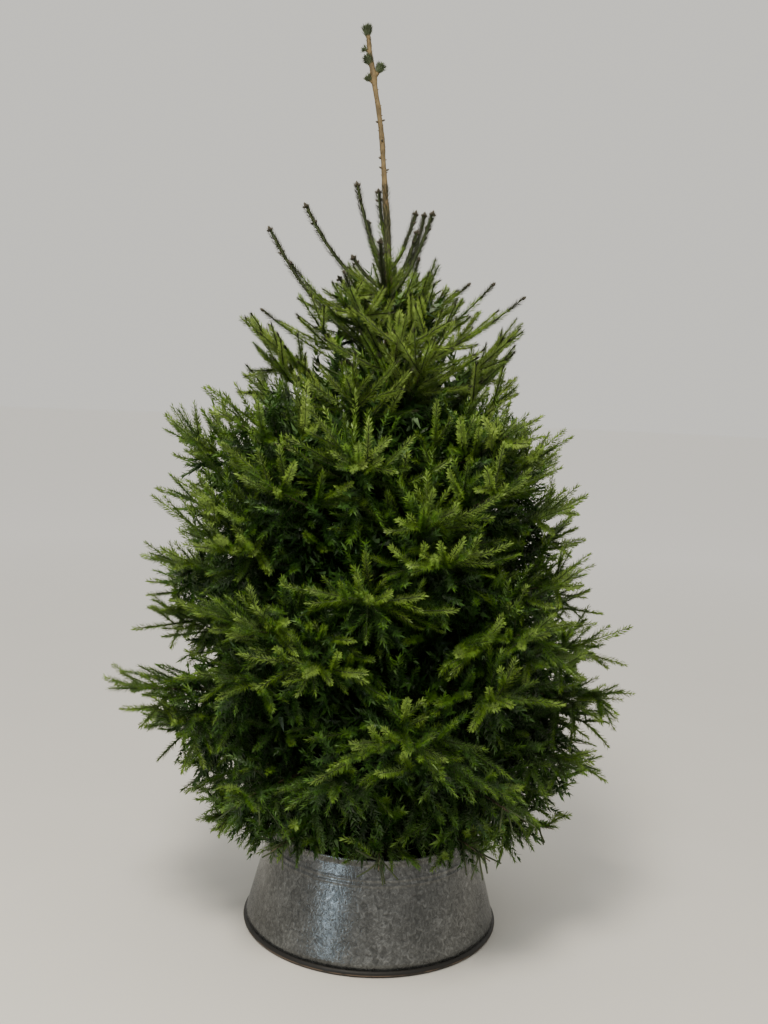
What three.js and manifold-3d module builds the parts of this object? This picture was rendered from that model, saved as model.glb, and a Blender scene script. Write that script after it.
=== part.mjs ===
// A cut Norway spruce, 1.85 m tall, standing in a flared galvanised steel stand.
// Millimetres, +Z up. The origin is the centre of the stand's flat underside, and
// the tree's front looks along -Y.
import * as THREE from "three";
import { mergeVertices } from "three/addons/utils/BufferGeometryUtils.js";
import Module from "manifold-3d";

const wasm = await Module();
wasm.setup();

// Driving dimensions of the stand
const FOOT_RADIUS = 271; // widest part of the dark rolled foot rim
const TOP_RADIUS = 213.5; // top edge of the galvanised shell
const STAND_HEIGHT = 214;
const RIM_HEIGHT = 18;
const RIM_WIDTH = 12;
const SHELL_WALL = 2;
const PLATE_THICKNESS = 4;
const SOCKET_RADIUS = 45;
const SOCKET_WALL = 3;
const SOCKET_HEIGHT = 120;
const GUSSET_COUNT = 3;
const GUSSET_REACH = 205;
const GUSSET_HEIGHT = 85;
const SCREW_COUNT = 3;
const SCREW_RADIUS = 5;
const SCREW_LENGTH = 85;
const SCREW_LEVEL = 92;
const RING_SIDES = 36;
const FIT_GAP = 0.3; // between pieces that touch

// The trunk: height, sideways sway, sway in depth and radius at each station
const TRUNK = [
  [4.3, 0, 0, 29.8],
  [60, 1, 0, 28.4],
  [214, 10, 3, 26.2],
  [450, 12, 5, 23],
  [800, 8, 4, 17.5],
  [1150, -4, 0, 11.5],
  [1391, -16, -3, 8],
  [1510, -26, -4, 6.2],
  [1662, -43, -2, 5],
  [1745, -59, 0, 4.4],
  [1852, -78, 2, 2.5],
];
const TRUNK_TOP = 1745; // above this the leader is inside its own buds and needles

// The crown, level by level from the lowest. Angles are in degrees and run from +X
// towards +Y. reach is the furthest tip from the stand's axis on the +X and on the
// -X side, rise how far a tip lies above its limb's foot, bow how far the limb's
// middle lies above (or below) the straight line, hang how much its sprays droop.
const LEVELS = [
  { z: 318, count: 5, turn: 18, reach: [490, 465], rise: 40, bow: 40, hang: 0.42, nodes: 4, spray: 225,
    core: [0.57, 108, 116, 58] },
  { z: 462, count: 5, turn: -12, reach: [525, 565], rise: 80, bow: 12, hang: 0.16, nodes: 4, spray: 235,
    core: [0.56, 128, 128, 72] },
  { z: 622, count: 5, turn: 24, reach: [465, 515], rise: 95, bow: -12, hang: 0.05, nodes: 4, spray: 230,
    core: [0.57, 116, 118, 72] },
  { z: 790, count: 5, turn: -6, reach: [405, 475], rise: 140, bow: -18, hang: -0.12, nodes: 3, spray: 220,
    core: [0.48, 125, 100, 70] },
  { z: 935, count: 4, turn: 42, reach: [370, 435], rise: 150, bow: -18, hang: -0.28, nodes: 3, spray: 210,
    core: [0.46, 118, 105, 70] },
  { z: 1075, count: 4, turn: 2, reach: [262, 322], rise: 200, bow: -22, hang: -0.42, nodes: 3, spray: 180,
    core: [0.45, 92, 62, 46] },
  { z: 1212, count: 4, turn: 50, reach: [145, 175], rise: 150, bow: -22, hang: -0.55, nodes: 3, spray: 125,
    core: [0.5, 60, 38, 28] },
];
const BOUGH_LEVELS = 3; // the lowest levels carry their masses on separate boughs
const BOUGH_SHARE = 0.3; // how much of a limb is bare bough
const BOUGH_RADIUS = 9.5;
const STEM_RADIUS = 5.5;

// The last whorl: shoots that curve up beside the leader, as height of the foot,
// direction, reach from the leader and height of the tip
const SHOOTS = [
  { z: 1305, turn: 186, reach: 176, tip: 1493 },
  { z: 1370, turn: 215, reach: 84, tip: 1533 },
  { z: 1190, turn: 178, reach: 255, tip: 1448 },
  { z: 1318, turn: -48, reach: 118, tip: 1476 },
];
const SHOOT_RADIUS = 4;
const SHOOT_LOW = 0.6; // how steeply a shoot starts, as a share of its mean slope

const needleGreen = new THREE.MeshStandardMaterial({ color: 0x4c6e28, roughness: 0.65 });
const barkBrown = new THREE.MeshStandardMaterial({ color: 0x6f5236, roughness: 0.9 });
const zincGrey = new THREE.MeshStandardMaterial({ color: 0x74777a, roughness: 0.45, metalness: 0.8 });
const rimBrown = new THREE.MeshStandardMaterial({ color: 0x2b211a, roughness: 0.5, metalness: 0.4 });
const steelBlack = new THREE.MeshStandardMaterial({ color: 0x26282a, roughness: 0.5, metalness: 0.7 });

const up = new THREE.Vector3(0, 0, 1);
const radians = THREE.MathUtils.degToRad;
const tree = new THREE.Group();
const placed = []; // every finished solid, for the clearance tests

// A closed geometry as a solid for joining and cutting, and back again
function solidOf(geometry) {
  const bare = geometry.clone();
  bare.deleteAttribute("normal");
  bare.deleteAttribute("uv");
  const merged = mergeVertices(bare, 1e-4);
  const vertProperties = new Float32Array(merged.attributes.position.array);
  const triVerts = new Uint32Array(merged.index.array);
  return new wasm.Manifold(new wasm.Mesh({ numProp: 3, vertProperties, triVerts }));
}

function geometryOf(solid) {
  const mesh = solid.getMesh();
  const geometry = new THREE.BufferGeometry();
  geometry.setAttribute("position", new THREE.BufferAttribute(mesh.vertProperties, 3));
  geometry.setIndex(new THREE.BufferAttribute(mesh.triVerts, 1));
  geometry.computeVertexNormals();
  return geometry;
}

function addPiece(name, solid, material) {
  const mesh = new THREE.Mesh(geometryOf(solid), material);
  mesh.name = name;
  tree.add(mesh);
  placed.push({ name, solid, box: solid.boundingBox() });
}

// The same seeded random numbers wherever this rule is written
function randomFrom(seed) {
  let state = seed >>> 0;
  return () => {
    state = (state + 0x6d2b79f5) >>> 0;
    let t = Math.imul(state ^ (state >>> 15), state | 1);
    t ^= t + Math.imul(t ^ (t >>> 7), t | 61);
    return ((t ^ (t >>> 14)) >>> 0) / 4294967296;
  };
}

// A round bar along a path: a cylinder whose rings are moved onto the path, square to
// it, or kept level on an upright stem
function limbSolid(pathPoint, radiusAt, sides, steps, level = false) {
  const geometry = new THREE.CylinderGeometry(1, 1, 1, sides, steps);
  const position = geometry.attributes.position;
  const delta = 0.002;
  for (let i = 0; i < position.count; i += 1) {
    const share = position.getY(i) + 0.5;
    const ahead = pathPoint(Math.min(1, share + delta));
    const behind = pathPoint(Math.max(0, share - delta));
    const along = level ? up : ahead.sub(behind).normalize();
    const reference = Math.abs(along.z) > 0.9 ? new THREE.Vector3(0, 1, 0) : up;
    const across = reference.clone().cross(along).normalize();
    const over = across.clone().cross(along);
    const radius = radiusAt(share);
    const centre = pathPoint(share);
    centre.addScaledVector(across, position.getX(i) * radius);
    centre.addScaledVector(over, position.getZ(i) * radius);
    position.setXYZ(i, centre.x, centre.y, centre.z);
  }
  return solidOf(geometry);
}

// Rings turned about the upright axis from a closed outline
function ringSolid(outline, segments) {
  const points = outline.map(([radius, height]) => new THREE.Vector2(radius, height));
  points.push(points[0].clone());
  const geometry = new THREE.LatheGeometry(points, segments);
  geometry.rotateX(Math.PI / 2);
  return solidOf(geometry);
}

// Trunk centre line and radius at any height, smooth through the stations
function trunkAt(height) {
  let i = 1;
  while (i < TRUNK.length - 2 && TRUNK[i][0] < height) i += 1;
  const low = TRUNK[i - 1];
  const high = TRUNK[i];
  const span = high[0] - low[0];
  const share = (height - low[0]) / span;
  const before = TRUNK[Math.max(0, i - 2)];
  const after = TRUNK[Math.min(TRUNK.length - 1, i + 1)];
  const values = [1, 2, 3].map((k) => {
    const slopeLow = ((high[k] - before[k]) / (high[0] - before[0])) * span;
    const slopeHigh = ((after[k] - low[k]) / (after[0] - low[0])) * span;
    const a = 2 * (low[k] - high[k]) + slopeLow + slopeHigh;
    const b = 3 * (high[k] - low[k]) - 2 * slopeLow - slopeHigh;
    return ((a * share + b) * share + slopeLow) * share + low[k];
  });
  return { centre: new THREE.Vector3(values[0], values[1], height), radius: values[2] };
}

// Stand: shell on its rolled rim, base plate, welded socket and clamp screws
const shellFoot = FOOT_RADIUS - 6;
addPiece("stand_shell", ringSolid([
  [shellFoot - SHELL_WALL, RIM_HEIGHT + FIT_GAP],
  [shellFoot, RIM_HEIGHT + FIT_GAP],
  [TOP_RADIUS, STAND_HEIGHT],
  [TOP_RADIUS - SHELL_WALL, STAND_HEIGHT],
], RING_SIDES), zincGrey);

const rimInner = FOOT_RADIUS - RIM_WIDTH;
addPiece("stand_foot_rim", ringSolid([
  [rimInner, 0],
  [FOOT_RADIUS - 4, 0],
  [FOOT_RADIUS, 5],
  [FOOT_RADIUS, 12],
  [FOOT_RADIUS - 4.5, RIM_HEIGHT],
  [rimInner, RIM_HEIGHT],
], RING_SIDES), rimBrown);

const plateRadius = rimInner - 2 * FIT_GAP;
const plate = new THREE.CylinderGeometry(plateRadius, plateRadius, PLATE_THICKNESS, RING_SIDES);
plate.rotateX(Math.PI / 2).translate(0, 0, PLATE_THICKNESS / 2);
addPiece("stand_base_plate", solidOf(plate), steelBlack);

const socketFoot = PLATE_THICKNESS + FIT_GAP;
let socket = ringSolid([
  [SOCKET_RADIUS - SOCKET_WALL, socketFoot],
  [SOCKET_RADIUS, socketFoot],
  [SOCKET_RADIUS, SOCKET_HEIGHT],
  [SOCKET_RADIUS - SOCKET_WALL, SOCKET_HEIGHT],
], 20);
for (let i = 0; i < GUSSET_COUNT; i += 1) {
  const outline = new THREE.Shape();
  outline.moveTo(SOCKET_RADIUS - 1.5, 0);
  outline.lineTo(GUSSET_REACH, 0);
  outline.lineTo(GUSSET_REACH, 8);
  outline.lineTo(SOCKET_RADIUS - 1.5, GUSSET_HEIGHT);
  outline.closePath();
  const gusset = new THREE.ExtrudeGeometry(outline, { depth: 4, bevelEnabled: false });
  gusset.translate(0, 0, -2).rotateX(Math.PI / 2).translate(0, 0, socketFoot);
  gusset.rotateZ(radians(30 + (360 / GUSSET_COUNT) * i));
  socket = socket.add(solidOf(gusset));
}
for (let i = 0; i < SCREW_COUNT; i += 1) {
  const turn = radians(90 + (360 / SCREW_COUNT) * i);
  const outward = new THREE.Vector3(Math.cos(turn), Math.sin(turn), 0);
  const bark = trunkAt(SCREW_LEVEL);
  const level = new THREE.Vector3(0, 0, SCREW_LEVEL);
  const start = bark.centre.dot(outward) + bark.radius + FIT_GAP;
  const pointAt = (distance) => level.clone().addScaledVector(outward, distance);
  const bar = (from, to, radius, sides) => limbSolid(
    (share) => pointAt(from + (to - from) * share), () => radius, sides, 1);
  socket = socket.subtract(bar(SOCKET_RADIUS - 8, SOCKET_RADIUS + 8, SCREW_RADIUS + FIT_GAP, 12));
  const eye = start + SCREW_LENGTH;
  const sideways = outward.clone().cross(up).multiplyScalar(22);
  const handle = limbSolid(
    (share) => pointAt(eye - 7).addScaledVector(sideways, 2 * share - 1), () => 3.5, 6, 1);
  addPiece(`clamp_screw_${i + 1}`, bar(start, eye, SCREW_RADIUS - 0.3, 8).add(handle), steelBlack);
}
addPiece("stand_socket", socket, steelBlack);

// Trunk, whole from its flat cut to the bud cluster at the top
const trunkShare = (share) => trunkAt(TRUNK[0][0] + (TRUNK_TOP - TRUNK[0][0]) * share);
const trunkSolid = (grow) => limbSolid(
  (share) => trunkShare(share).centre, (share) => trunkShare(share).radius + grow, 8, 17, true);
const trunkAndGap = trunkSolid(FIT_GAP);
addPiece("trunk", trunkSolid(0), barkBrown);

// A spray of needles: a blade with two teeth on each side and a low ridge above and
// below. The outline runs from the root to the tip and back, in shares of length
// and half width.
const SPRAY_OUTLINE = [[0, 0], [0.26, 1], [0.37, 0.42], [0.62, 0.8], [0.7, 0.3], [1, 0]];
const SMALL_OUTLINE = [[0, 0], [0.34, 1], [0.5, 0.36], [1, 0]]; // one tooth a side
const SPRAY_CENTRE = 0.36;
const SPRAY_THICKNESS = 0.026;

function sprayPoints(spray, grow) {
  const { root, along, across, length, width, outline: shares = SPRAY_OUTLINE } = spray;
  const normal = along.clone().cross(across).normalize();
  const at = (share, side, lift) => root.clone()
    .addScaledVector(along, share * length)
    .addScaledVector(across, side * 0.5 * width)
    .addScaledVector(normal, lift);
  const outline = shares.map(([share, side]) => at(share, side, 0));
  shares.slice(1, -1).reverse().forEach(([share, side]) => outline.push(at(share, -side, 0)));
  const half = (length * SPRAY_THICKNESS) / 2 + grow;
  return { outline, top: at(SPRAY_CENTRE, 0, half), bottom: at(SPRAY_CENTRE, 0, -half) };
}

function spraySolid(spray) {
  const { outline, top, bottom } = sprayPoints(spray, 0);
  const geometry = new THREE.BufferGeometry().setFromPoints([...outline, top, bottom]);
  const index = [];
  const count = outline.length;
  for (let i = 0; i < count; i += 1) {
    const next = (i + 1) % count;
    index.push(i, count, next);
    index.push(next, count + 1, i);
  }
  geometry.setIndex(index);
  return solidOf(geometry);
}

// A limb is a curve from the trunk to its furthest tip
function levelLimb(level, order) {
  const turn = radians(level.turn + (360 / level.count) * order);
  const side = (Math.cos(turn) + 1) / 2;
  const reach = level.reach[0] * side + level.reach[1] * (1 - side);
  const tip = new THREE.Vector3(reach * Math.cos(turn), reach * Math.sin(turn), level.z + level.rise);
  return { turn, tip, bow: level.bow, foot: level.z };
}

function limbPath(limb) {
  const { centre, radius } = trunkAt(limb.foot);
  const outward = new THREE.Vector3(Math.cos(limb.turn), Math.sin(limb.turn), 0);
  const start = centre.addScaledVector(outward, 0.5 * radius);
  return (share) => start.clone().lerp(limb.tip, share)
    .addScaledVector(up, limb.bow * 4 * share * (1 - share));
}

// The dark, dense heart of a mass: a faceted lump round the stem, wider than high
function coreSolid(path, { core }) {
  const [middle, halfLength, halfWidth, halfHeight] = core;
  const { along, left, over } = frameAt(path, middle);
  const lump = new THREE.IcosahedronGeometry(1, 0);
  const shape = new THREE.Matrix4().makeBasis(
    along.multiplyScalar(halfLength), left.multiplyScalar(halfWidth), over.multiplyScalar(halfHeight));
  lump.applyMatrix4(shape.setPosition(path(middle)));
  return solidOf(lump);
}

function frameAt(path, share) {
  const along = path(Math.min(1, share + 0.01)).sub(path(share - 0.01)).normalize();
  const left = up.clone().cross(along).normalize();
  return { along, left, over: along.clone().cross(left) };
}

// One spray on a limb: roll 0 points to the left, 90 up, 180 right, -90 down
function sprayOn(path, share, roll, spread, length, width, hang, twist = 0) {
  const { along, left, over } = frameAt(path, share);
  const sideways = left.clone().multiplyScalar(Math.cos(roll)).addScaledVector(over, Math.sin(roll));
  const heading = along.clone().multiplyScalar(Math.cos(spread))
    .addScaledVector(sideways, Math.sin(spread))
    .addScaledVector(up, -hang)
    .normalize();
  const flat = Math.abs(Math.cos(roll)) > 0.5 ? over : left;
  const across = (flat === over ? over.clone().cross(heading) : flat.clone());
  across.addScaledVector(heading, -across.dot(heading)).normalize();
  across.applyAxisAngle(heading, twist);
  const root = path(share).addScaledVector(heading, -1.5);
  return { root, along: heading, across, length, width };
}

// The sprays of one limb: pairs to both sides, with some above and below between
// them, and one at the end
function limbSprays(path, settings, random) {
  const { from, nodes, spray, hang, upright } = settings;
  const sprays = [];
  const jitter = (size) => 1 + size * (random() - 0.5);
  for (let node = 0; node < nodes; node += 1) {
    const share = from + (0.9 - from) * ((node + 0.35) / nodes);
    const taper = 1 - 0.5 * Math.max(0, (share - 0.55) / 0.45);
    const spread = radians(60 - 16 * share);
    for (const side of [0, Math.PI]) {
      const length = spray * taper * jitter(0.24);
      const roll = side + radians(26) * (random() - 0.5);
      const drop = hang + 0.16 * (random() - 0.5);
      const place = share + 0.02 * (side ? 1 : -1);
      const twist = radians(38) * (side ? 1 : -1) * jitter(0.9);
      sprays.push(sprayOn(path, place, roll, spread * jitter(0.2), length, length * 0.4, drop, twist));
    }
    const length = spray * 0.58 * taper * jitter(0.3);
    const roll = radians(node % 2 === upright ? 90 : -90) + 0.6 * (random() - 0.5);
    const minor = sprayOn(path, share + 0.05, roll, radians(54) * jitter(0.3), length, length * 0.46, hang);
    sprays.push({ ...minor, outline: SMALL_OUTLINE });
  }
  const end = spray * 0.72;
  const length = path(1).distanceTo(path(0.86)) + end * 0.25;
  const { along, left } = frameAt(path, 0.93);
  const tip = path(1);
  const root = tip.clone().addScaledVector(along, -Math.max(length, end));
  sprays.push({ root, along, across: left, length: Math.max(length, end), width: end * 0.42 });
  return sprays;
}

// A spray is kept where it stays in its mass's space, clear of all that stands, and
// where its outer part crosses none of its own mass's sprays
const SPACE_FLOOR = 150; // no foliage hangs lower
const CLEARANCE = 1.2;

function staysInSpace(spray, space) {
  const points = sprayPoints(spray, 0).outline;
  return points.every((point) => {
    if (point.z < SPACE_FLOOR) return false;
    const radius = Math.hypot(point.x, point.y);
    if (radius < FOOT_RADIUS && point.z < STAND_HEIGHT + 8) return false;
    if (radius < 110) return true;
    const away = Math.atan2(point.y, point.x) - space.turn;
    const turned = Math.abs(Math.atan2(Math.sin(away), Math.cos(away)));
    return turned < space.half && radius < space.reach;
  });
}

function boxesMeet(a, b, margin) {
  return [0, 1, 2].every((k) => a.min[k] - margin < b.max[k] && b.min[k] - margin < a.max[k]);
}

function clearOf(solid, others) {
  const box = solid.boundingBox();
  return others.every((other) => !boxesMeet(box, other.box, CLEARANCE)
    || solid.minGap(other.solid, CLEARANCE * 2) > CLEARANCE);
}

function outerPart(spray) {
  const skip = 0.14 * spray.length;
  const root = spray.root.clone().addScaledVector(spray.along, skip);
  return { ...spray, root, length: spray.length - skip };
}

// One solid from a stem and its sprays, without sealed hollows or loose scraps
function fuse(parts) {
  const joined = wasm.Manifold.union(parts).simplify(0.03);
  const bodies = joined.decompose().filter((body) => body.volume() > 0);
  bodies.sort((a, b) => b.volume() - a.volume());
  return bodies[0];
}

// All stems and cores stand before the first spray grows, so that no spray is in the
// way of another mass's stem
const masses = [];

function addMass(name, parts, sprays, space) {
  const solid = wasm.Manifold.union(parts).subtract(trunkAndGap);
  masses.push({ name, solid, box: solid.boundingBox(), sprays, space });
}

function growMass({ name, solid: base, sprays, space }, standing) {
  const parts = [base];
  const kept = [];
  for (const spray of sprays) {
    const solid = spraySolid(spray);
    const outer = spraySolid(outerPart(spray));
    if (!staysInSpace(spray, space) || !clearOf(solid, standing) || !clearOf(outer, kept)) continue;
    kept.push({ solid, box: solid.boundingBox() });
    parts.push(solid);
  }
  addPiece(name, fuse(parts), needleGreen);
}

// Levels of boughs and masses, from the lowest up
function growLimb(level, levelIndex, order) {
  const limb = levelLimb(level, order);
  const path = limbPath(limb);
  const name = `${levelIndex + 1}_${order + 1}`;
  const size = 1 - 0.07 * levelIndex;
  const bare = levelIndex < BOUGH_LEVELS ? BOUGH_SHARE : 0;
  const gap = FIT_GAP / path(0).distanceTo(path(1));
  const first = bare > 0 ? bare + gap : 0;
  if (bare > 0) {
    const thickness = (share) => BOUGH_RADIUS * size * (1 - 0.45 * share);
    const bough = limbSolid((share) => path(share * bare), thickness, 5, 2);
    addPiece(`bough_${name}`, bough.subtract(trunkAndGap), barkBrown);
  }
  const stem = limbSolid(
    (share) => path(first + (0.92 - first) * share),
    (share) => STEM_RADIUS * size * (1 - 0.6 * share), 3, 2);
  const parts = [stem];
  if (level.core) parts.push(coreSolid(path, level));
  const random = randomFrom(1000 + 100 * levelIndex + order);
  const settings = { ...level, from: Math.max(0.24, bare), upright: order % 2 };
  const half = Math.PI / level.count + 0.16;
  const reach = Math.hypot(limb.tip.x, limb.tip.y) + 12;
  addMass(`foliage_${name}`, parts, limbSprays(path, settings, random), { turn: limb.turn, half, reach });
}

LEVELS.forEach((level, levelIndex) => {
  for (let order = 0; order < level.count; order += 1) growLimb(level, levelIndex, order);
});

// A shoot of the last whorl starts low and turns up towards its tip
function shootPath(shoot) {
  const { centre, radius } = trunkAt(shoot.z);
  const turn = radians(shoot.turn);
  const outward = new THREE.Vector3(Math.cos(turn), Math.sin(turn), 0);
  const climb = shoot.tip - shoot.z;
  return (share) => centre.clone()
    .addScaledVector(outward, 0.5 * radius * (1 - share) + shoot.reach * share)
    .addScaledVector(up, climb * share * (SHOOT_LOW + (1 - SHOOT_LOW) * share * share));
}

// The last whorl: thin shoots with short needles pressed along them
SHOOTS.forEach((shoot, order) => {
  const random = randomFrom(3000 + order);
  const path = shootPath(shoot);
  const stem = limbSolid((share) => path(0.94 * share), (share) => SHOOT_RADIUS * (1 - 0.5 * share), 3, 3);
  const sprays = [];
  for (let node = 0; node < 5; node += 1) {
    const share = 0.2 + 0.14 * node;
    const roll = node * 2.4 + random();
    const needles = sprayOn(path, share, roll, radians(32), 64 - 3 * node, 20, 0);
    sprays.push({ ...needles, outline: SMALL_OUTLINE });
  }
  const { along, left } = frameAt(path, 0.97);
  sprays.push({ root: path(0.8), along, across: left, length: path(0.8).distanceTo(path(1)), width: 22 });
  addMass(`foliage_8_${order + 1}`, [stem], sprays, { turn: 0, half: 3.2, reach: 400 });
});

// The leader's tip: bud clusters and a tuft of needles on the last of the stem
const tipPoint = (share) => trunkAt(TRUNK_TOP + FIT_GAP + (TRUNK[10][0] - 12 - TRUNK_TOP) * share).centre;
const tipStem = limbSolid(tipPoint, (share) => 4.2 - 1.4 * share, 6, 4, true);
const tufts = [];
[[0.12, -20], [0.26, 160], [0.42, 20], [0.6, 200], [0.78, 90]].forEach(([share, turn], i) => {
  const buds = sprayOn(tipPoint, share, radians(turn), radians(48), 30 - i, 15, 0);
  tufts.push({ ...buds, outline: SMALL_OUTLINE });
});
const crownTip = trunkAt(TRUNK[10][0]).centre;
const tuftRoot = tipPoint(0.72);
tufts.push({
  root: tuftRoot,
  along: crownTip.clone().sub(tuftRoot).normalize(),
  across: new THREE.Vector3(0, 1, 0),
  length: crownTip.distanceTo(tuftRoot),
  width: 18,
});
tufts.push({ ...tufts[tufts.length - 1], across: new THREE.Vector3(1, 0, 0.2).normalize() });
addMass("leader_tip", [tipStem], tufts, { turn: 0, half: 3.2, reach: 400 });

masses.forEach((mass, i) => growMass(mass, [...placed, ...masses.slice(i + 1)]));

export default tree;
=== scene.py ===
# A cut Norway spruce, 1.85 m tall with its bare leader, held upright in a flared galvanised
# steel stand and seen from the front. Metres, +Z up, the origin under the stand's middle.
import math

import bpy
import numpy as np
from mathutils import Matrix, Vector, noise


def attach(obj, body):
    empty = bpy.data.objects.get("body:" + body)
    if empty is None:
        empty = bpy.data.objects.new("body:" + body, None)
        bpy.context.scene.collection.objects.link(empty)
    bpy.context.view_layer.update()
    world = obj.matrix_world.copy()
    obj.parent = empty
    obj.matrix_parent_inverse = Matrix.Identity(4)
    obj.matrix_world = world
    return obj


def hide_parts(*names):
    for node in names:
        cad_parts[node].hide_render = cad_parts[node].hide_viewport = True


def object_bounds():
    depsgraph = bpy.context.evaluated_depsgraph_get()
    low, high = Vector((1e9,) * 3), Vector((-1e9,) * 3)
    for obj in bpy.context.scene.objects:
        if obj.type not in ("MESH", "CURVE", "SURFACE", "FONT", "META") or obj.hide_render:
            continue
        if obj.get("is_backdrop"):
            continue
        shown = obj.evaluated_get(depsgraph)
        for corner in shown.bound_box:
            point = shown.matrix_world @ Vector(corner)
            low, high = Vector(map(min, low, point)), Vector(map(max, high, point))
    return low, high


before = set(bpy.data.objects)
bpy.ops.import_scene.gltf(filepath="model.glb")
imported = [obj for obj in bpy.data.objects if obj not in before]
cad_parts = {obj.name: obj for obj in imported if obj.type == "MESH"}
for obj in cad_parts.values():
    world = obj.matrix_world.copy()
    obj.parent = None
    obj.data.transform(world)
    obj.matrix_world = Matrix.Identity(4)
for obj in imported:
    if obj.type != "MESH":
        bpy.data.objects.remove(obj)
cad_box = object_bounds()


# Camera: a hand-held view from breast height, 2.3 m in front of the tree, tipped a little down
# and a little to one side, so that the upright trunk leans in the picture as it does in the photograph.
EYE = Vector((-0.0035, -2.3025, 1.13))
TIP_DOWN = math.radians(6.237)
TIP_ASIDE = math.radians(2.373)
LENS = 39.0

camera_data = bpy.data.cameras.new("camera")
camera_data.lens = LENS
camera_data.sensor_width = 36.0
camera = bpy.data.objects.new("camera", camera_data)
bpy.context.scene.collection.objects.link(camera)
ahead = Vector((0, math.cos(TIP_DOWN), -math.sin(TIP_DOWN)))
level_up = Vector((0, math.sin(TIP_DOWN), math.cos(TIP_DOWN)))
level_right = Vector((1, 0, 0))
view_right = level_right * math.cos(TIP_ASIDE) + level_up * math.sin(TIP_ASIDE)
view_up = level_up * math.cos(TIP_ASIDE) - level_right * math.sin(TIP_ASIDE)
camera.matrix_world = Matrix.Translation(EYE) @ Matrix(
    (view_right, view_up, -ahead)).transposed().to_4x4()
bpy.context.scene.camera = camera


# Studio: a plain pale floor under an even pale sky, one large soft lamp high in front for the
# bright shoot tips, and a small cool one that gives the zinc its upright gleam.
class Wire:
    """A socket of a material. The usual signs between wires and numbers add Math nodes."""

    def __init__(self, tree, socket):
        self.tree, self.socket = tree, socket

    def feed(self, value, target):
        if isinstance(value, Wire):
            self.tree.links.new(value.socket, target)
        else:
            target.default_value = value

    def work(self, operation, *values):
        node = self.tree.nodes.new("ShaderNodeMath")
        node.operation = operation
        for value, target in zip(values, node.inputs):
            self.feed(value, target)
        return Wire(self.tree, node.outputs[0])

    def __add__(self, other):
        return self.work("ADD", self, other)

    def __sub__(self, other):
        return self.work("SUBTRACT", self, other)

    def __rsub__(self, other):
        return self.work("SUBTRACT", other, self)

    def __mul__(self, other):
        return self.work("MULTIPLY", self, other)

    def above(self, edge, softness):
        """0 below the edge and 1 above it, over the given softness."""
        wire = (self - (edge - softness / 2)) * (1 / softness)
        wire.socket.node.use_clamp = True
        return wire

    __radd__ = __add__


class Finish:
    """A material with one Principled shader. Its constants are set on the shader's own sockets."""

    def __init__(self, name, **constants):
        self.material = bpy.data.materials.new(name)
        self.material.use_nodes = True
        self.tree = self.material.node_tree
        self.shader = self.tree.nodes["Principled BSDF"]
        self.set(**constants)

    def set(self, **values):
        for key, value in values.items():
            socket = self.shader.inputs[key.replace("_", " ")]
            Wire(self.tree, socket).feed(value, socket)

    def add(self, kind, output, settings=(), **inputs):
        """Any node: its type, the output wanted, its settings, and its sockets' values or wires."""
        node = self.tree.nodes.new("ShaderNode" + kind)
        for key, value in dict(settings).items():
            if key == "stops":
                ramp = node.color_ramp.elements
                while len(ramp) < len(value):
                    ramp.new(0.5)
                for stop, (place, colour) in zip(ramp, value):
                    stop.position, stop.color = place, (*colour, 1)
            else:
                setattr(node, key, value)
        for key, value in inputs.items():
            socket = node.inputs[int(key[1:])] if key[0] == "n" and key[1:].isdigit() else node.inputs[key]
            Wire(self.tree, socket).feed(value, socket)
        return Wire(self.tree, node.outputs[output])

    def place(self):
        return self.add("TexCoord", "Object")

    def stretched(self, x, y, z):
        return self.add("Mapping", "Vector", Vector=self.place(), Scale=(x, y, z))

    def grain(self, scale, detail=4.0, where=None, roughness=0.5):
        return self.add("TexNoise", "Fac", Vector=where or self.place(), Scale=scale,
                        Detail=detail, Roughness=roughness)

    def blend(self, share, first, second):
        """A colour between two colours or colour wires."""
        first, second = ((*c, 1) if isinstance(c, tuple) else c for c in (first, second))
        return self.add("Mix", 2, {"data_type": "RGBA"}, Factor=share, n6=first, n7=second)

    def relief(self, height, distance, strength=1.0):
        self.set(Normal=self.add("Bump", "Normal", Height=height, Distance=distance, Strength=strength))


FLOOR_RADIUS = 40.0
FLOOR_CORNERS = 96
PALER_FROM = 3.6  # the floor grows paler about this far off, so that it meets the sky without a line
PALER_OVER = 5.0
floor_mesh = bpy.data.meshes.new("floor")
corner_turns = [2 * math.pi * k / FLOOR_CORNERS for k in range(FLOOR_CORNERS)]
floor_mesh.from_pydata([(FLOOR_RADIUS * math.cos(turn), FLOOR_RADIUS * math.sin(turn), 0)
                        for turn in corner_turns], [], [range(FLOOR_CORNERS)])
floor = bpy.data.objects.new("floor", floor_mesh)
floor_finish = Finish("pale_floor", Roughness=0.7)
floor_near = floor_finish.blend(floor_finish.grain(3.0), (0.665, 0.645, 0.605), (0.70, 0.68, 0.64))
far_off = floor_finish.add("VectorMath", "Value", {"operation": "LENGTH"}, n0=floor_finish.place())
paler = far_off.above(PALER_FROM, PALER_OVER)
floor_finish.set(Base_Color=floor_finish.blend(paler, floor_near, (0.97, 0.95, 0.93)))
floor_mesh.materials.append(floor_finish.material)
bpy.context.scene.collection.objects.link(floor)
floor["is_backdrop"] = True

SKY_COLOUR = (0.80, 0.78, 0.72, 1)
SKY_STRENGTH = 1.03
world = bpy.data.worlds.new("sky")
world.use_nodes = True
sky = world.node_tree.nodes["Background"]
sky.inputs["Color"].default_value = SKY_COLOUR
sky.inputs["Strength"].default_value = SKY_STRENGTH
bpy.context.scene.world = world


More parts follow.
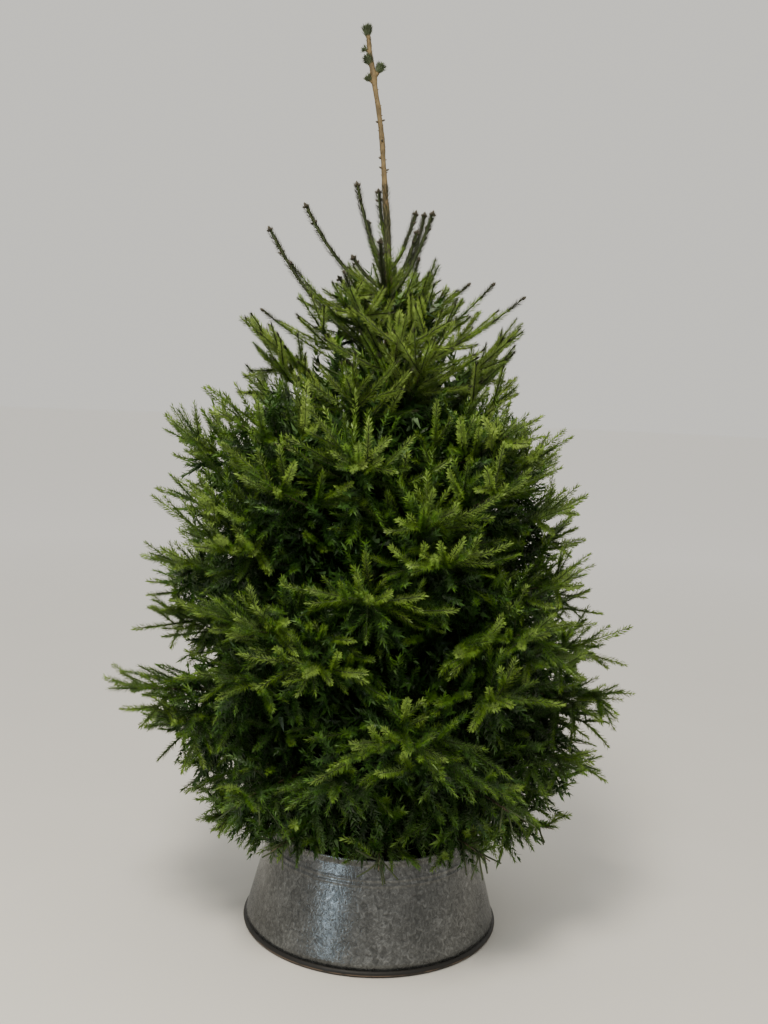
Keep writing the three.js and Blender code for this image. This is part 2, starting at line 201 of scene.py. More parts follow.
def lamp(name, place, aim, size, power, colour):
    """A soft oval lamp that faces its aim and doesn't show itself."""
    data = bpy.data.lights.new(name, "AREA")
    data.shape, data.energy, data.color = "ELLIPSE", power, colour
    data.size, data.size_y = size
    light = bpy.data.objects.new(name, data)
    light.visible_camera = False
    light.location = place
    light.rotation_mode = "QUATERNION"
    light.rotation_quaternion = (Vector(aim) - Vector(place)).to_track_quat("-Z", "Y")
    bpy.context.scene.collection.objects.link(light)


lamp("ceiling_lamp", (-0.5, -1.9, 3.3), (0, 0, 0.9), (0.9, 0.9), 140, (1.0, 0.93, 0.80))
lamp("gleam_lamp", (-1.72, -2.45, 0.45), (0, 0, 0.10), (0.085, 0.9), 11.5, (0.62, 0.82, 1.0))


# Base plate, socket and clamp screws: the plain holder that grips the cut butt, out of sight
# inside the stand. Sheet and tube steel, welded, painted black and lightly scuffed.
steel = Finish("black_steel", Metallic=0.3)
scuff = steel.grain(35.0, 6.0)
steel.set(Base_Color=steel.blend(scuff.above(0.62, 0.1), (0.022, 0.022, 0.024), (0.09, 0.09, 0.095)),
          Roughness=0.35 + scuff * 0.35)
steel.relief(scuff, 0.0004)
for node in ("stand_base_plate", "stand_socket", "clamp_screw_1", "clamp_screw_2", "clamp_screw_3"):
    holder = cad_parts[node]
    holder.data.materials.clear()
    holder.data.materials.append(steel.material)


# Foot rim: the shell's lower edge, rolled round a wire and dipped dark brown. It lies flat on the
# floor, with a painted highlight: a dull brown line low on its rolled outer edge.
def mesh_piece(name, points, faces, finish, smooth=True):
    """A piece from arrays of points and of faces with one number of corners."""
    faces = np.asarray(faces, dtype=np.int32)
    count, corners = faces.shape
    mesh = bpy.data.meshes.new(name)
    mesh.vertices.add(len(points))
    mesh.vertices.foreach_set("co", np.asarray(points, dtype=np.float32).ravel())
    mesh.loops.add(count * corners)
    mesh.loops.foreach_set("vertex_index", faces.ravel())
    mesh.polygons.add(count)
    mesh.polygons.foreach_set("loop_start", np.arange(0, count * corners, corners, dtype=np.int32))
    mesh.polygons.foreach_set("use_smooth", np.full(count, smooth))
    mesh.update(calc_edges=True)
    mesh.materials.append(finish.material)
    piece = bpy.data.objects.new(name, mesh)
    bpy.context.scene.collection.objects.link(piece)
    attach(piece, "root")
    return piece


def turned(outline, segments):
    """A closed outline of (radius, height) turned about the upright axis."""
    turn = np.linspace(0, 2 * math.pi, segments, endpoint=False)
    radius, height = np.array(outline).T
    ring = np.stack([np.outer(np.cos(turn), radius), np.outer(np.sin(turn), radius),
                     np.tile(height, (segments, 1))], axis=2)
    count = len(outline)
    a = np.arange(segments)[:, None] * count + np.arange(count)[None, :]
    b = np.roll(a, -1, axis=0)
    faces = np.stack([a, b, np.roll(b, -1, axis=1), np.roll(a, -1, axis=1)], axis=2)
    return ring.reshape(-1, 3), faces.reshape(-1, 4)


RIM_INNER = 0.259
RIM_OUTER = 0.271
RIM_TOP = 0.0146
RIM_ROUND = 0.0062
RIM_TALLER = 1.08  # the roll is a little taller than it is deep
ROLL_STEPS = 12
HIGHLIGHT_LINE = (0.0040, 0.0066)  # the heights between which the roll carries its painted highlight
HIGHLIGHT_SOFTNESS = 0.0012
rim_outline = [(RIM_INNER, RIM_TOP), (RIM_INNER, 0.0), (RIM_OUTER - RIM_ROUND, 0.0)]
for step in range(1, ROLL_STEPS):
    angle = -math.pi / 2 + math.pi * step / ROLL_STEPS
    rim_outline.append((RIM_OUTER - RIM_ROUND + RIM_ROUND * math.cos(angle),
                        RIM_ROUND * RIM_TALLER * (1 + math.sin(angle))))
rim_outline += [(RIM_OUTER - 0.0068, RIM_TOP - 0.0006), (RIM_OUTER - 0.0078, RIM_TOP)]

rim_finish = Finish("rim_brown", Specular_IOR_Level=0.35)
wear_and_sheen = rim_finish.grain(30.0, 5.0)
level = rim_finish.add("SeparateXYZ", "Z", Vector=rim_finish.place())
# Painted highlight: a dull brown band round the lower roll between two heights, patchy with the noise that
# also varies the roughness.
highlight_band = level.above(HIGHLIGHT_LINE[0], HIGHLIGHT_SOFTNESS) - level.above(HIGHLIGHT_LINE[1], HIGHLIGHT_SOFTNESS)
painted_highlight = highlight_band * wear_and_sheen.above(0.42, 0.2)
rim_finish.set(Base_Color=rim_finish.blend(painted_highlight, (0.007, 0.006, 0.005), (0.105, 0.072, 0.048)),
               Roughness=0.42 + wear_and_sheen * 0.3)
rim_finish.relief(wear_and_sheen, 0.0005)
rim = mesh_piece("foot_rim_rolled", *turned(rim_outline, 160), rim_finish)
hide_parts("stand_foot_rim")


# Shell: a flared cone of hot-dipped galvanised sheet, with a lap seam at the right, two shallow
# rolled lines under the top and a folded top edge. The zinc is mottled.
SHELL_FOOT = (0.2665, 0.0125)
SHELL_TOP = (0.2135, 0.214)
SHELL_WALL = 0.002
SHELL_ROWS = ((SHELL_FOOT[1], 0.160, 13), (0.162, 0.183, 18), (0.187, 0.206, 4))  # from, to, how many
ROLLED_LINES = (0.167, 0.177)
SEAM_TURN = math.radians(-18)
SEAM_WIDTH = 0.030
SEAM_LIFT = 0.0011
SEAM_EDGE = 0.0006
MEAN_RADIUS = 0.24
DENT_DEPTH = 0.0009
DENT_SCALE = 9.0


def shell_radius(height):
    """The shell's outer radius at a height."""
    share = (height - SHELL_FOOT[1]) / (SHELL_TOP[1] - SHELL_FOOT[1])
    return SHELL_FOOT[0] + (SHELL_TOP[0] - SHELL_FOOT[0]) * share


def rolled_line(height, centre, depth=0.0009, width=0.0028):
    """How far a rolled line stands out of the sheet at a height."""
    return depth * np.exp(-((height - centre) / width) ** 2)


outside = []
for height in np.concatenate([np.linspace(*rows) for rows in SHELL_ROWS]):
    lines = sum(rolled_line(height, centre) for centre in ROLLED_LINES)
    outside.append((shell_radius(height) + lines, height))
top_radius, top_height = SHELL_TOP
fold = [(shell_radius(0.2065) + 0.0011, 0.2066), (top_radius + 0.0013, 0.2132),
        (top_radius + 0.0007, top_height), (top_radius - SHELL_WALL, top_height - 0.0004)]
inside = [(radius - SHELL_WALL, height) for radius, height in reversed(outside[::3])]
shell_points, shell_faces = turned(outside + fold + inside, 256)
turn = np.arctan2(shell_points[:, 1], shell_points[:, 0])
seam_way = np.angle(np.exp(1j * (turn - SEAM_TURN))) * MEAN_RADIUS
seam_lift = SEAM_LIFT / (1 + np.exp(-(SEAM_WIDTH / 2 - np.abs(seam_way)) / SEAM_EDGE))
dents = np.array([noise.noise(Vector(p) * DENT_SCALE) for p in shell_points]) * DENT_DEPTH
outer_side = np.arange(len(shell_points)) % len(outside + fold + inside) < len(outside)
edge_fade = np.clip((shell_points[:, 2] - SHELL_FOOT[1]) / 0.01, 0, 1)
radius_now = np.hypot(shell_points[:, 0], shell_points[:, 1])
lift = (seam_lift * outer_side + dents) * edge_fade
shell_points[:, :2] *= (1 + lift / radius_now)[:, None]

zinc = Finish("galvanised_zinc", Metallic=0.80)
spangle = zinc.add("TexNoise", "Fac", Vector=zinc.stretched(105, 105, 80), Scale=1.0, Detail=4.0,
                   Roughness=0.55, Distortion=1.4)
patches = zinc.grain(14.0, 3.0)
grit = zinc.grain(1.0, 3.0, zinc.stretched(330, 330, 210))
tone = spangle * 0.55 + patches * 0.25 + grit * 0.20
zinc.set(Base_Color=zinc.add("ValToRGB", "Color", {"stops": [
    (0.32, (0.040, 0.042, 0.042)), (0.46, (0.074, 0.076, 0.075)), (0.54, (0.110, 0.113, 0.112)),
    (0.68, (0.215, 0.222, 0.222))]}, Fac=tone), Roughness=0.39 - tone * 0.26)
zinc.relief(spangle + grit * 0.3, 0.0010, 0.8)
shell = mesh_piece("galvanised_shell", shell_points, shell_faces, zinc)
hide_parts("stand_shell")


# Trunk: one stem from the flat cut in the socket to the bud cluster under the tip. Scaly
# red-brown bark low down, and a bare tan leader with small nubs where its needles have dropped.
TRUNK = np.array([
    (0.0043, 0, 0, 0.0298), (0.060, 0.001, 0, 0.0284), (0.214, 0.010, 0.003, 0.0262),
    (0.450, 0.012, 0.005, 0.023), (0.800, 0.008, 0.004, 0.0175), (1.150, -0.004, 0, 0.0115),
    (1.391, -0.016, -0.003, 0.008), (1.510, -0.026, -0.004, 0.0062), (1.662, -0.043, -0.002, 0.0053),
    (1.745, -0.059, 0, 0.0049), (1.852, -0.078, 0.002, 0.0030)])
TRUNK_TOP = 1.745
UP = np.array([0.0, 0.0, 1.0])


def trunk_at(height):
    """The middle of the trunk and its radius at a height, smooth through the stations."""
    i = 1
    while i < len(TRUNK) - 2 and TRUNK[i][0] < height:
        i += 1
    low, high = TRUNK[i - 1], TRUNK[i]
    before, after = TRUNK[max(0, i - 2)], TRUNK[min(len(TRUNK) - 1, i + 1)]
    span = high[0] - low[0]
    share = (height - low[0]) / span
    slope_low = (high - before)[1:] / (high[0] - before[0]) * span
    slope_high = (after - low)[1:] / (after[0] - low[0]) * span
    rise = (high - low)[1:]
    a = slope_low + slope_high - 2 * rise
    b = 3 * rise - 2 * slope_low - slope_high
    x, y, radius = ((a * share + b) * share + slope_low) * share + low[1:]
    return np.array([x, y, height]), radius


def units(vectors):
    """Each row of an array at unit length."""
    return vectors / np.linalg.norm(vectors, axis=1)[:, None]


def way_at(turn, rise=0.0):
    """The way out from the trunk at a turn, rising or level."""
    return np.array([math.cos(turn), math.sin(turn), rise])


def limb_mesh(centres, radii, sides, rough=0.0, grain=90.0, level=False):
    """A round bar through the centres, closed at both ends, with bark relief of the given depth."""
    centres, radii = np.asarray(centres), np.asarray(radii)
    along = np.tile(UP, (len(centres), 1)) if level else units(np.gradient(centres, axis=0))
    reference = np.where(np.abs(along[:, 2:]) > 0.9, [0.0, 1.0, 0.0], UP)
    across = units(np.cross(reference, along))
    over = np.cross(along, across)
    turn = np.linspace(0, 2 * math.pi, sides, endpoint=False)
    out = np.cos(turn)[None, :, None] * across[:, None] + np.sin(turn)[None, :, None] * over[:, None]
    depth = np.ones((len(centres), sides))
    if rough:
        for i, centre in enumerate(centres):
            for j in range(sides):
                where = Vector(centre + out[i, j] * radii[i])
                where.z *= 0.45
                depth[i, j] += rough / radii[i] * noise.turbulence(where * grain, 3, False)
    points = (centres[:, None] + out * (radii[:, None] * depth)[..., None]).reshape(-1, 3)
    rows = np.arange(len(centres) - 1)[:, None] * sides
    a = rows + np.arange(sides)
    b = rows + np.roll(np.arange(sides), -1)
    walls = np.stack([a, b, b + sides, a + sides], axis=2).reshape(-1, 4)
    walls = np.concatenate([walls[:, [0, 1, 2]], walls[:, [0, 2, 3]]])
    first, last = len(points), len(points) + 1
    points = np.concatenate([points, centres[:1], centres[-1:]])
    ring = np.arange(sides)
    end = (len(centres) - 1) * sides
    caps = [np.stack([np.full(sides, first), np.roll(ring, -1), ring], axis=1),
            np.stack([np.full(sides, last), end + ring, end + np.roll(ring, -1)], axis=1)]
    return points, np.concatenate([walls, *caps])


def joined(parts):
    """Meshes given as points and faces, as one."""
    offset = np.cumsum([0] + [len(points) for points, _ in parts])
    return (np.concatenate([points for points, _ in parts]),
            np.concatenate([faces + start for (_, faces), start in zip(parts, offset)]))


def bark_finish(name, low, high, *upper):
    """Bark of two tones, which may turn to other tones above given heights."""
    finish = Finish(name)
    scales = finish.grain(1.0, 6.0, finish.stretched(120, 120, 45), 0.65)
    colour = finish.blend(scales.above(0.5, 0.22), low, high)
    for height, tone, darker in upper:
        level = finish.add("SeparateXYZ", "Z", Vector=finish.place()) + scales * 0.05
        reached = level.above(height, 0.03)
        colour = finish.blend(reached, colour, finish.blend(scales.above(0.5, 0.2), tone, darker))
    finish.set(Base_Color=colour, Roughness=0.72 + scales * 0.2)
    finish.relief(scales, 0.0012, 0.8)
    return finish


TRUNK_ROWS = ((TRUNK[0][0], 1.40, 330), (1.404, TRUNK_TOP, 90))  # from, to, how many
NUB_HEIGHTS = np.arange(1.515, 1.735, 0.0062)
heights = np.concatenate([np.linspace(*rows) for rows in TRUNK_ROWS])
stations = [trunk_at(height) for height in heights]
butt_round = 1 - 0.03 * np.exp(-(heights - heights[0]) / 0.002)
trunk_finish = bark_finish("trunk_bark", (0.050, 0.026, 0.016), (0.170, 0.098, 0.058),
                           (1.400, (0.052, 0.058, 0.020), (0.034, 0.034, 0.012)),
                           (1.515, (0.126, 0.087, 0.034), (0.062, 0.043, 0.017)))
trunk_parts = [limb_mesh([c for c, _ in stations], [r for _, r in stations] * butt_round * 0.985, 26,
                         0.0016, 70.0, level=True)]
nub_random = np.random.default_rng(7)
for height in NUB_HEIGHTS:
    centre, radius = trunk_at(height)
    out = way_at(nub_random.uniform(0, 2 * math.pi), 0.55)
    foot = centre + out * (radius - 0.001)
    reach = nub_random.uniform(0.0018, 0.0032)
    trunk_parts.append(limb_mesh([foot, foot + out * reach * 0.6, foot + out * reach],
                                 [0.0011, 0.0009, 0.0004], 5))
trunk = mesh_piece("trunk_bark", *joined(trunk_parts), trunk_finish)
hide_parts("trunk")


# Boughs: tiers of limbs that leave the trunk in whorls, steep near the top and almost level low
# down, with thinner limbs between the tiers. Brown scaly bark, each limb running on as the stem
# of its foliage.
LEVEL_VALUES = ("z", "count", "turn", "reach", "rise", "bow", "hang", "nodes", "spray")
LEVELS = [dict(zip(LEVEL_VALUES, row)) for row in (
    (0.318, 5, 18, (0.490, 0.465), 0.040, 0.040, 0.42, 4, 0.225),
    (0.462, 5, -12, (0.525, 0.565), 0.080, 0.012, 0.16, 4, 0.235),
    (0.622, 5, 24, (0.465, 0.515), 0.095, -0.012, 0.05, 4, 0.230),
    (0.790, 5, -6, (0.405, 0.475), 0.140, -0.018, -0.12, 3, 0.220),
    (0.935, 4, 42, (0.370, 0.435), 0.150, -0.018, -0.28, 3, 0.210),
    (1.075, 4, 2, (0.262, 0.322), 0.200, -0.022, -0.42, 3, 0.180),
    (1.212, 4, 50, (0.145, 0.175), 0.150, -0.022, -0.55, 3, 0.125),
)]
LOWEST = dict(z=0.258, count=11, turn=10, rise=0.002, bow=0.016, hang=0.42, spray=0.165)
HIGHEST = dict(z=1.310, rise=0.115, bow=-0.022, hang=-0.70, spray=0.095)
OUTLINE = np.array([  # the crown's outline: height, reach to the right, reach to the left
    (0.13, 0.34, 0.28), (0.20, 0.41, 0.36), (0.27, 0.480, 0.44), (0.33, 0.505, 0.505),
    (0.42, 0.505, 0.500), (0.48, 0.490, 0.530), (0.54, 0.502, 0.570), (0.60, 0.508, 0.460),
    (0.66, 0.495, 0.505), (0.73, 0.455, 0.550), (0.79, 0.438, 0.495), (0.85, 0.418, 0.490),
    (0.94, 0.400, 0.515), (1.00, 0.385, 0.465), (1.06, 0.355, 0.475), (1.12, 0.265, 0.395),
    (1.18, 0.270, 0.275), (1.25, 0.260, 0.315), (1.30, 0.245, 0.240), (1.34, 0.125, 0.140),
    (1.40, 0.075, 0.085), (1.46, 0.035, 0.045), (1.55, 0.02, 0.03)])
BOUGH_LEVELS = 3
BOUGH_SHARE = 0.3
BOUGH_RADIUS = 0.0095
WOOD_END = 0.86
# Limbs between two tiers: the share of the turn to the next limb, and of the rise to the next tier.
BETWEEN = ((0.36, 0.34), (0.69, 0.67))
BETWEEN_REACH = 0.97
OPEN_TIER = 5  # from this tier up the shoots are fewer and stand apart, and turn less on their limb
OPEN_FROM = 1.05
OPEN_HANG = -0.15
OPEN_TWIST = 0.3
TIERS = {"low": (0, 1), "middle": (2, 3), "high": (4, 5, 6, 7)}
LAST_WHORL_MASSES = 4


def unit(vector):
    return vector / np.linalg.norm(vector)


def limb_path(turn, tip, bow, foot):
    """The curve of a limb from inside the trunk to its tip, as a function of the share of its way."""
    centre, radius = trunk_at(foot)
    start = centre + 0.5 * radius * way_at(turn)

    def at(share):
        share = np.asarray(share, dtype=float)[..., None]
        return start + (tip - start) * share + UP * bow * 4 * share * (1 - share)

    return at


def outline_at(height, turn):
    """How far the crown reaches at a height, in the direction of a turn."""
    right, left = (np.interp(height, OUTLINE[:, 0], OUTLINE[:, k]) for k in (1, 2))
    return left + (right - left) * (math.cos(turn) + 1) / 2


def limb_of(level, degrees):
    """A limb of a tier has the reach of its tier, and one between tiers the reach of the outline."""
    turn = math.radians(degrees)
    height = level["z"] + level["rise"]
    if "reach" in level:
        side = (math.cos(turn) + 1) / 2
        reach = level["reach"][0] * side + level["reach"][1] * (1 - side)
    else:
        reach = outline_at(height, turn) * BETWEEN_REACH
    return limb_path(turn, np.array([reach * math.cos(turn), reach * math.sin(turn), height]),
                     level["bow"], level["z"])


def level_between(low, high, share):
    """The values of a limb that stands between two tiers."""
    return {key: low[key] + (high[key] - low[key]) * share for key in ("z", "rise", "bow", "hang", "spray")}


limbs = []
for tier, level in enumerate(LEVELS):
    step = 360 / level["count"]
    above = LEVELS[tier + 1] if tier + 1 < len(LEVELS) else HIGHEST
    for order in range(level["count"]):
        degrees = level["turn"] + step * order
        limbs.append(dict(tier=tier, order=order, main=True, level=level, path=limb_of(level, degrees)))
        for turn_share, rise_share in BETWEEN if tier < OPEN_TIER else BETWEEN[:1]:
            mixed = level_between(level, above, rise_share)
            path = limb_of(mixed, degrees + step * turn_share)
            limbs.append(dict(tier=tier, order=order, main=False, level=mixed, path=path))
for order in range(LOWEST["count"]):
    degrees = LOWEST["turn"] + 360 / LOWEST["count"] * order
    limbs.append(dict(tier=0, order=order, main=False, level=LOWEST, path=limb_of(LOWEST, degrees)))


def limb_radius(limb, share):
    """The radius of a limb's wood, from its foot to its thin end."""
    return BOUGH_RADIUS * limb["size"] * (1 - 0.92 * share ** 0.7)


bark = bark_finish("bough_bark", (0.030, 0.021, 0.013), (0.088, 0.060, 0.034))
limb_parts = {name: [] for name in TIERS}
for limb in limbs:
    share = np.linspace(0.02, WOOD_END, 16)
    limb["size"] = (1 - 0.07 * limb["tier"]) * (1 if limb["main"] else 0.65)
    radii = limb_radius(limb, share)
    limb["group"] = next(name for name, tiers in TIERS.items() if limb["tier"] in tiers)
    limb_parts[limb["group"]].append(limb_mesh(limb["path"](share), radii, 6, 0.0006, 130.0))
masses = {}
for group, tiers in TIERS.items():
    boughs = mesh_piece(f"boughs_{group}", *joined(limb_parts[group]), bark)
    nodes = [f"bough_{tier + 1}_{order + 1}" for tier in tiers if tier < BOUGH_LEVELS
             for order in range(LEVELS[tier]["count"])]
    masses[group] = [f"foliage_{tier + 1}_{order + 1}" for tier in tiers
                     for order in range(LEVELS[tier]["count"] if tier < len(LEVELS) else LAST_WHORL_MASSES)]
    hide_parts(*nodes, *masses[group])


# Twigs and shoots: from each limb, sprays of twigs grow to both sides, above and below, and each
# twig carries young shoots in turn to its two sides. This grows the shoots, the needles follow.
def random_from(seed):
    """The seeded random numbers of the growing rule."""
    state = seed & 0xFFFFFFFF
    while True:
        state = (state + 0x6D2B79F5) & 0xFFFFFFFF
        t = ((state ^ (state >> 15)) * (state | 1)) & 0xFFFFFFFF
        t ^= (t + (((t ^ (t >> 7)) * (t | 61)) & 0xFFFFFFFF)) & 0xFFFFFFFF
        yield ((t ^ (t >> 14)) & 0xFFFFFFFF) / 4294967296


def frame_at(path, share):
    """The ways along a limb, to its left and over it."""
    along = unit(path(min(1, share + 0.01)) - path(share - 0.01))
    left = unit(np.cross(UP, along))
    return along, left, np.cross(along, left)


def turned_about(vector, axis, angle):
    """A direction turned about an axis of unit length."""
    return (vector * math.cos(angle) + np.cross(axis, vector) * math.sin(angle)
            + axis * np.dot(axis, vector) * (1 - math.cos(angle)))


SUNK = 0.0015  # how far a spray's root is sunk in its limb


def spray_on(path, share, roll, spread, length, width, hang, twist=0.0):
    """One spray on a limb: roll 0 points to the left, 90 degrees up, 180 right, -90 down."""
    along, left, over = frame_at(path, share)
    sideways = left * math.cos(roll) + over * math.sin(roll)
    heading = unit(along * math.cos(spread) + sideways * math.sin(spread) - UP * hang)
    flat = abs(math.cos(roll)) > 0.5
    across = np.cross(over, heading) if flat else left.copy()
    across = unit(across - heading * np.dot(across, heading))
    across = turned_about(across, heading, twist)
    root = path(share) - heading * SUNK
    return dict(root=root, along=heading, across=across, length=length, width=width)


def limb_sprays(path, first, nodes, spray, hang, upright, random):
    """The sprays of one limb: pairs to both sides, one above or below in turn, and one at the end."""
    def jitter(size):
        return 1 + size * (next(random) - 0.5)

    sprays = []
    tilt = math.radians(38) * (OPEN_TWIST if path(0)[2] > OPEN_FROM else 1)
    for node in range(nodes):
        share = first + (0.9 - first) * (node + 0.35) / nodes
        taper = 1 - 0.5 * max(0, (share - 0.55) / 0.45)
        spread = math.radians(60 - 16 * share)
        for side in (0, math.pi):
            length = spray * taper * jitter(0.24)
            roll = side + math.radians(26) * (next(random) - 0.5)
            drop = hang + 0.16 * (next(random) - 0.5)
            place = share + 0.02 * (1 if side else -1)
            twist = tilt * (1 if side else -1) * jitter(0.9)
            spread_now = spread * jitter(0.2)
            sprays.append(spray_on(path, place, roll, spread_now, length, length * 0.4, drop, twist))
        length = spray * 0.58 * taper * jitter(0.3)
        roll = math.radians(90 if node % 2 == upright else -90) + 0.6 * (next(random) - 0.5)
        spread_up = math.radians(54) * jitter(0.3)
        sprays.append(spray_on(path, share + 0.05, roll, spread_up, length, length * 0.46, hang))
    end = spray * 0.72
    length = max(end, np.linalg.norm(path(1) - path(0.86)) + end * 0.25)
    along, left, _ = frame_at(path, 0.93)
    sprays.append(dict(root=path(1) - along * length, along=along, across=left, length=length,
                       width=end * 0.42))
    return sprays


fine = np.random.default_rng(20)
MOST_OUT = {"old": 0.64, "inner": 0.84}  # old and inner shoots end well inside the outline
ANYWHERE = 99.0
DULL = 9.0  # the tone of what has no fresh green
SHOOT_STEP = 0.0192
SHORTEST_SPRAY = 0.06
SHORTEST_SHOOT = 0.046
TWIG_RADIUS = 0.0021
NEEDLE_OUT = 0.007
BOX_ROOM = 0.012
UNDERSIDE = 0.135  # the foliage hangs no lower than this, and stays higher in front and further out
UNDERSIDE_FRONT = 0.092
UNDERSIDE_SLOPE = 1.15
SLOPE_FROM = 0.305
CLEAR_HEIGHT = 0.228  # below this the shoots keep clear of the shell
CLEAR_GAP = 0.014
OLD_SHARES = np.linspace(0.12, 0.56, 8)  # where old shoots fill the dark core, along a limb
OPEN_OLD_SHARES = (0.2,)
INNER_COUNTS = (14, 14, 14, 13, 12, 0, 0)  # inner sprays on a limb, by its tier
STEM_SHARES = np.linspace(0.24, 1.0, 9)
HANGING_SHARES = (0.42, 0.54, 0.66, 0.78)
CORE_HEIGHTS = np.arange(0.30, 1.00, 0.014)
UPPER_HEIGHTS = np.arange(0.98, 1.335, 0.0078)
lowest_corner, highest_corner = (np.array(corner) for corner in cad_box)
shoots = []
twigs = []


def depth_at(point):
    """How far out in the crown a point is: 0 at the trunk, 1 at the crown's outline."""
    return math.hypot(point[0], point[1]) / outline_at(point[2], math.atan2(point[1], point[0]))


def past(value, edge, stretch):
    """0 up to an edge, rising to 1 over a stretch past it."""
    return float(np.clip((value - edge) / stretch, 0, 1))


def short_of(value, edge, stretch):
    """0 from an edge on, rising to 1 over a stretch short of it."""
    return float(np.clip((edge - value) / stretch, 0, 1))


def add_shoot(root, heading, over, length, tone, group, style="full", lift=0.0, girth=0.0008, most_out=1.06):
    """One shoot, unless it would meet the stand or leave the space that the tree fills."""
    heading = unit(heading)
    over = unit(over - heading * np.dot(over, heading))
    for _ in range(3):
        end = root + heading * length + UP * lift * length
        beyond = np.maximum(end - highest_corner, lowest_corner - end)[:2] + NEEDLE_OUT
        if beyond.max() < BOX_ROOM and depth_at(end) < most_out:
            break
        length *= 0.78
    else:
        return
    for point in (end, root + heading * length * 0.5):
        radius = math.hypot(point[0], point[1])
        lowest = UNDERSIDE + UNDERSIDE_FRONT * max(0.0, -point[1] / radius) ** 1.5
        if point[2] < lowest + UNDERSIDE_SLOPE * max(0.0, radius - SLOPE_FROM):
            return
        if point[2] < CLEAR_HEIGHT and radius < shell_radius(point[2]) + CLEAR_GAP:
            return
    shoots.append(dict(root=root, heading=heading, over=over, length=length, tone=tone, group=group,
                       style=style, lift=lift, girth=girth))


def add_stretch(start, stop, over, tone, group, style, **more):
    """One shoot from a point to another."""
    add_shoot(start, stop - start, over, np.linalg.norm(stop - start), tone, group, style, **more)


def straightness(height):
    """How straight and how flat the sprays are at a height: they arch low down and stand stiff above."""
    return past(height, 0.60, 0.25)


def openness(height):
    """How far the shoots stand apart at a height: 0 in the full crown, 1 near its top."""
    return past(height, 1.04, 0.14)


def painted_light_of(root, along, place, shade, apart):
    """The painted light and shade of a spray: darker deep in the crown and by its shade, as painted shade;
    lighter further out, rising, at the crown's foot and in its upper half, as painted light.
    """
    painted_light = 1.05 * depth_at(place) - 0.38 + 0.16 * along[2] + fine.uniform(-0.12, 0.12) - shade + 0.26 * apart
    painted_light += 0.16 * past(root[2], 0.50, 0.35) + 0.34 * short_of(root[2], 0.38, 0.12)
    return painted_light


def droop_of(root, end):
    """How far a spray's shoots hang: inside the lower crown, and along its lower edge."""
    droop = 0.34 * fine.uniform(0, 1) * (1 - past(root[2], 0.45, 0.45))
    droop *= short_of(depth_at(end), 1.02, 0.22)
    droop += fine.uniform(0.10, 0.45) * short_of(root[2], 0.46, 0.12)
    return droop


def grow_spray(spray, group, style="full", shade=0.0):
    """A twig along the spray's middle, with shoots to both sides in turn and one at the end."""
    root, along, across = spray["root"], spray["along"], spray["across"]
    over = np.cross(along, across)
    if over[2] < 0:
        over = -over
    yaw, pitch = fine.uniform(-0.17, 0.17, 2)
    along = turned_about(turned_about(along, over, yaw), across, pitch)
    across = unit(across - along * np.dot(along, across))
    length = spray["length"] * fine.uniform(0.86, 1.12)
    most_out = MOST_OUT.get(style, fine.uniform(0.95, 1.07))
    while depth_at(root + along * length) > most_out and length > SHORTEST_SPRAY:
        length *= 0.9
    if length <= SHORTEST_SPRAY:
        return
    apart = openness(root[2] + along[2] * length * 0.5)
    if style == "inner" and apart > 0.25:
        return
    if style == "full" and apart > 0.5:
        style = "rope"
    end_style = "rope_end" if style == "rope" else style
    straight = straightness(root[2])
    loose = 1 - 0.6 * straight
    last = min(0.088 + 0.020 * straight + 0.030 * apart, (0.48 + 0.06 * straight + 0.12 * apart) * length)
    stem = length - last
    sag = fine.uniform(-0.04, 0.10) * length

    def at(share):
        return root + along * stem * share + UP * sag * (share * share - share * 0.6)

    # Painted light and shade: the spray's tone, from which its shoots take theirs, lighter towards its end
    # and darker along its stem.
    painted_light = painted_light_of(root, along, at(0.8), shade, apart)
    twigs.append((at(0.0), at(0.5), at(1.0), TWIG_RADIUS, group))
    step = SHOOT_STEP * (1.5 if style in MOST_OUT else 1.0 + 0.2 * straight) * (1 + 2.0 * apart)
    droop = droop_of(root, at(1.0))
    fuller = 1 + 0.2 * straight + 0.3 * apart
    count = max(1 if apart > 0.5 else 2, round(stem * 0.88 / step + fine.uniform(-0.5, 0.5) * apart))
    for k in range(count):
        share = 0.10 + 0.88 * (k + fine.uniform(0.2, 0.8)) / count
        angle = math.radians(fine.uniform(32, 54) - 10 * straight)
        heading = along * math.cos(angle) + across * (-1) ** k * math.sin(angle)
        rise = 0.05 + fine.uniform(-0.13, 0.13) * loose
        heading = heading + UP * rise + over * fine.uniform(-0.28, 0.28) * loose
        reach = spray["width"] * fine.uniform(0.80, 1.25) * (1.2 - 0.45 * share) * fuller
        reach = np.clip(reach, SHORTEST_SHOOT, 0.105 + 0.02 * straight)
        tone = painted_light - 0.10 + 0.16 * share + fine.uniform(-0.14, 0.14)
        lift = 0.06 + fine.uniform(-0.18, 0.18) * loose
        add_shoot(at(share), heading, over, reach, tone, group, end_style, lift - droop,
                  most_out=most_out + 0.02)
    pieces = max(1, round(stem / 0.09))
    for k in range(pieces):
        start, stop = at(0.08 + 0.92 * k / pieces), at(0.08 + 0.92 * (k + 1) / pieces)
        add_stretch(start, stop, over, painted_light - 0.20, group, style)
    add_shoot(at(1.0), along, over, last, painted_light + 0.14, group, end_style, fine.uniform(0.0, 0.20) - droop,
              most_out=most_out + 0.05)


